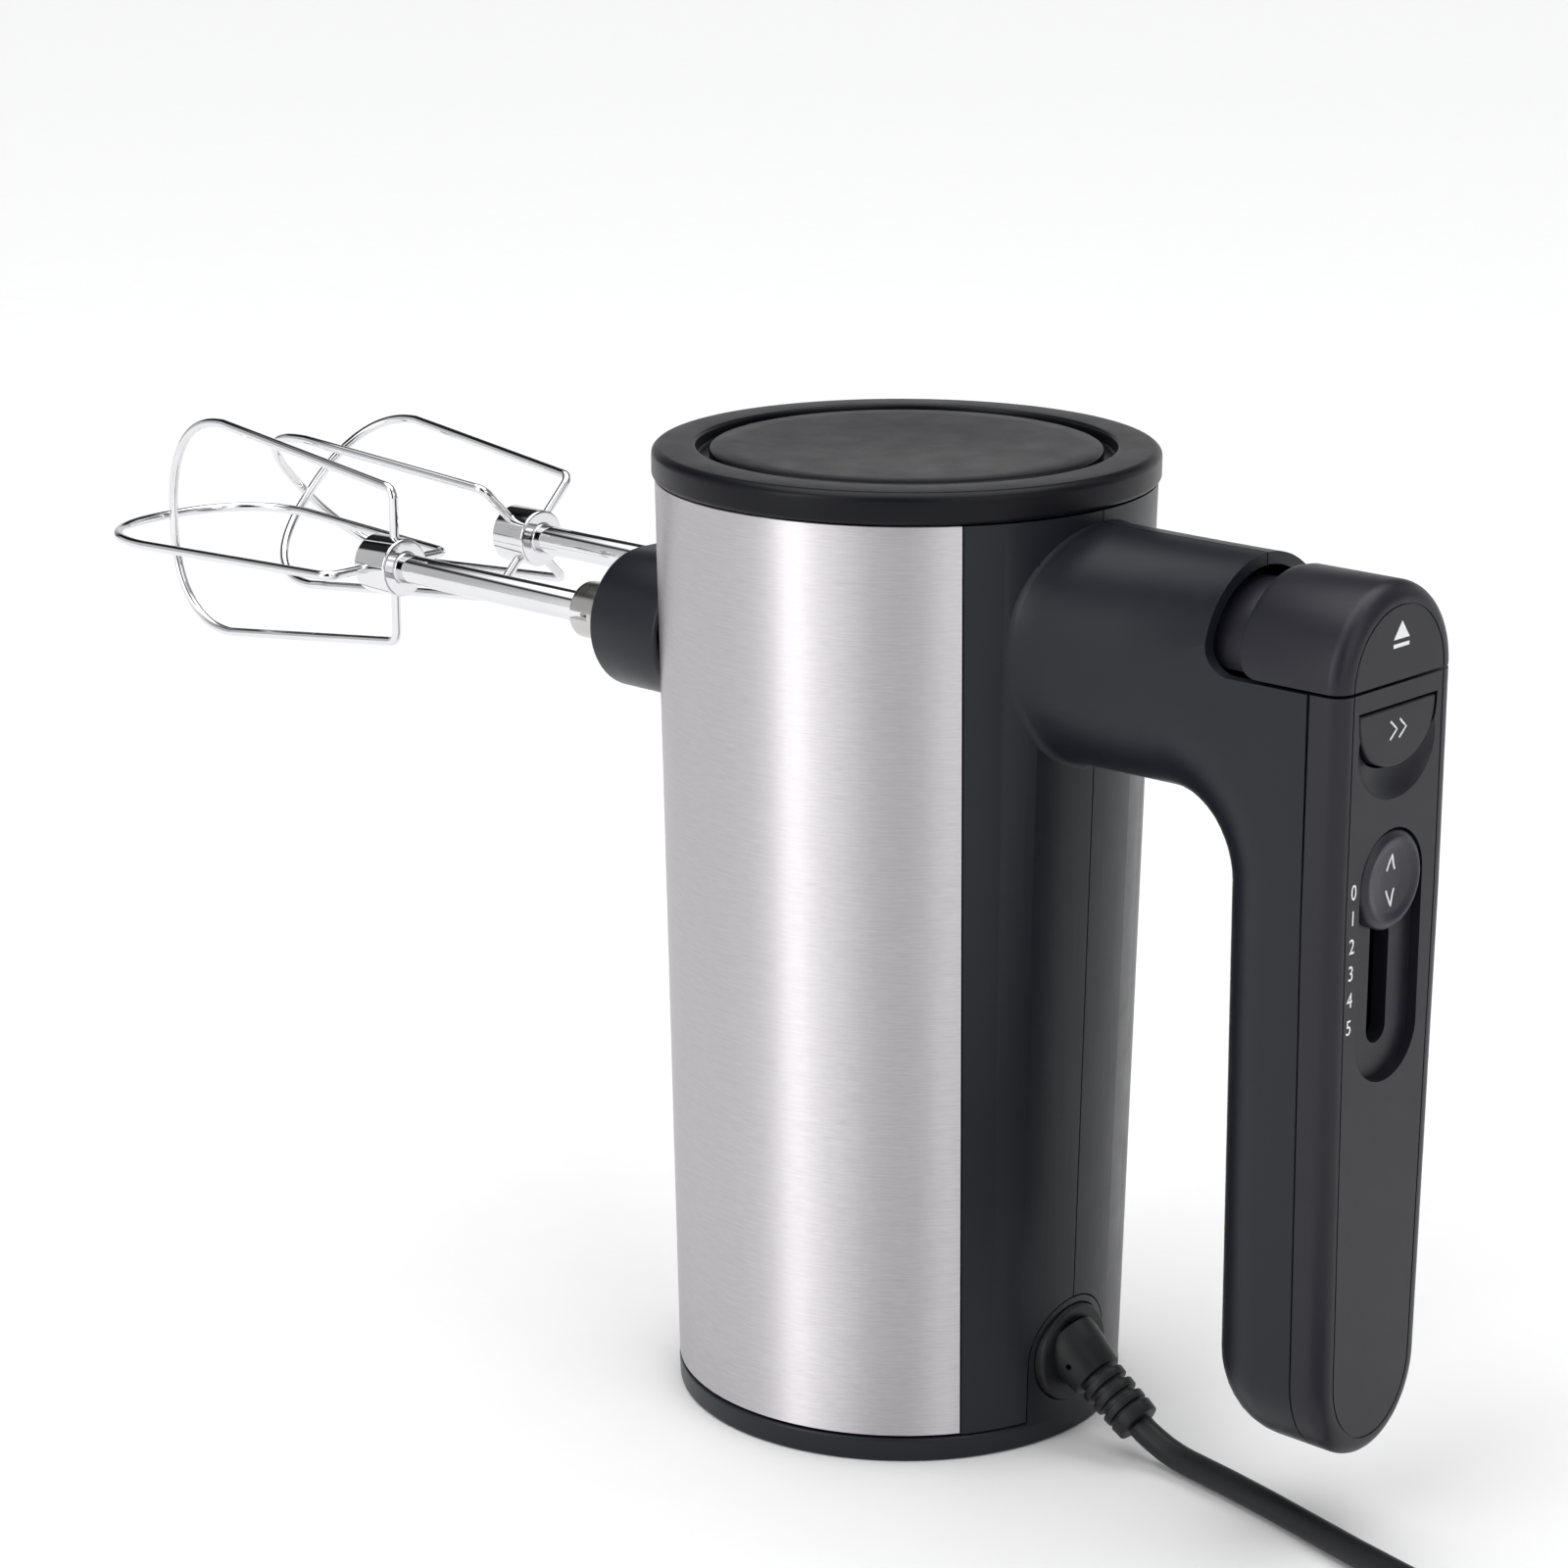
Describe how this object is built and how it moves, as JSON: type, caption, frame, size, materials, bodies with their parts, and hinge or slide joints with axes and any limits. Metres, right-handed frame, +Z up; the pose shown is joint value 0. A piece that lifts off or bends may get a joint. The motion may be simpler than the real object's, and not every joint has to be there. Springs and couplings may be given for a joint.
{
  "type": "hand mixer",
  "caption": "Upright electric hand mixer: tapered steel-sleeved motor body, side grip with speed slide, turbo and eject buttons, and wire whisk beaters on counter-turning spindles.",
  "frame": {"origin": "centre of the flat base face, on the axis of the tapered body", "axes": "+Z up along the body's axis, +Y out through the grip, beaters point along -Y, +X to the user's left when the grip faces the user"},
  "size_m": [0.161, 0.4179, 0.1923],
  "materials": {
    "body_shell": "satin",
    "top_trim": "satin",
    "handle_trim": "satin",
    "knob": "satin",
    "sleeve_steel": "fine horizontal brushing",
    "beater_chrome": "polished",
    "machined_steel": "turned",
    "lamination_steel": "stamped",
    "copper_wire": "varnished winding",
    "bearing_bronze": "sintered",
    "gear_nylon": "moulded",
    "inner_plastic": "moulded",
    "carbon": "pressed",
    "circuit_board": "laminate",
    "spring_steel": "drawn wire",
    "cord_rubber": "matt",
    "plug_brass": "bright"
  },
  "bodies": {
    "body": {"housing_left": "body_shell", "housing_right": "body_shell", "base_cap": "body_shell", "beater_snout": "body_shell", "top_cap": "top_trim", "top_disc": "top_trim", "handle_rear_cover": "handle_trim", "steel_sleeve": "sleeve_steel", "housing_screw_1": "machined_steel", "housing_screw_2": "machined_steel", "housing_screw_3": "machined_steel", "stator_core": "lamination_steel", "motor_bracket": "lamination_steel", "field_coil_left": "copper_wire", "field_coil_right": "copper_wire", "front_bush_left": "bearing_bronze", "front_bush_right": "bearing_bronze", "rear_bush_left": "bearing_bronze", "rear_bush_right": "bearing_bronze", "worm_bearing": "bearing_bronze", "lower_motor_bearing": "bearing_bronze", "upper_motor_bearing": "bearing_bronze", "gearbox_frame": "inner_plastic", "brush_holder_left": "inner_plastic", "brush_holder_right": "inner_plastic", "turbo_switch": "inner_plastic", "cable_clamp": "inner_plastic", "carbon_brush_left": "carbon", "carbon_brush_right": "carbon", "control_board": "circuit_board", "eject_spring": "spring_steel", "turbo_spring": "spring_steel", "cord_strain_relief": "cord_rubber", "power_cord": "cord_rubber", "power_cord_end": "cord_rubber", "power_cord_coil": "cord_rubber", "mains_plug": "cord_rubber", "plug_pin_left": "plug_brass", "plug_pin_right": "plug_brass"},
    "ejector": {"eject_button": "handle_trim", "ejector_slider": "inner_plastic"},
    "turbo": {"turbo_button": "handle_trim"},
    "speed": {"speed_knob": "knob", "speed_slider": "inner_plastic"},
    "rotor": {"rotor_shaft": "machined_steel", "drive_worm": "machined_steel", "rotor_core": "lamination_steel", "armature_winding": "copper_wire", "commutator": "copper_wire", "cooling_fan": "gear_nylon"},
    "drive_left": {"spindle_left": "machined_steel", "worm_wheel_left": "gear_nylon"},
    "drive_right": {"spindle_right": "machined_steel", "worm_wheel_right": "gear_nylon"},
    "beater_left": {"beater_shaft_left": "beater_chrome", "beater_wire_left_inner": "beater_chrome", "beater_wire_left_outer": "beater_chrome"},
    "beater_right": {"beater_shaft_right": "beater_chrome", "beater_wire_right_inner": "beater_chrome", "beater_wire_right_outer": "beater_chrome"}
  },
  "joints": [
    {"name": "rotor_spin", "type": "hinge", "parent": "body", "child": "rotor", "pos_m": [0, 0, 0.1], "axis": [0, 0, 1], "continuous": true},
    {"name": "drive_left_spin", "type": "hinge", "parent": "body", "child": "drive_left", "pos_m": [0.02, 0, 0.1522], "axis": [0, 1, 0], "continuous": true},
    {"name": "drive_right_spin", "type": "hinge", "parent": "body", "child": "drive_right", "pos_m": [-0.02, 0, 0.1522], "axis": [0, 1, 0], "continuous": true},
    {"name": "eject_slide", "type": "slide", "parent": "body", "child": "ejector", "axis": [0, -1, 0], "range_m": [0, 0.005], "stiffness_N_per_m": 500, "springref_m": -0.006, "deforming": ["eject_spring"]},
    {"name": "beater_left_slide", "type": "slide", "parent": "drive_left", "child": "beater_left", "axis": [0, -1, 0], "range_m": [0, 0.005]},
    {"name": "beater_right_slide", "type": "slide", "parent": "drive_right", "child": "beater_right", "axis": [0, -1, 0], "range_m": [0, 0.005]},
    {"name": "turbo_press", "type": "slide", "parent": "body", "child": "turbo", "axis": [0, -1, 0], "range_m": [0, 0.0015], "stiffness_N_per_m": 800, "springref_m": -0.002, "deforming": ["turbo_spring"]},
    {"name": "speed_slide", "type": "slide", "parent": "body", "child": "speed", "axis": [0, 0, -1], "range_m": [0, 0.025]}
  ],
  "couplings": [
    {"joint": "drive_left_spin", "follows": "rotor_spin", "ratio": -0.071429},
    {"joint": "drive_right_spin", "follows": "rotor_spin", "ratio": 0.071429},
    {"joint": "beater_left_slide", "follows": "eject_slide", "ratio": 1},
    {"joint": "beater_right_slide", "follows": "eject_slide", "ratio": 1}
  ]
}
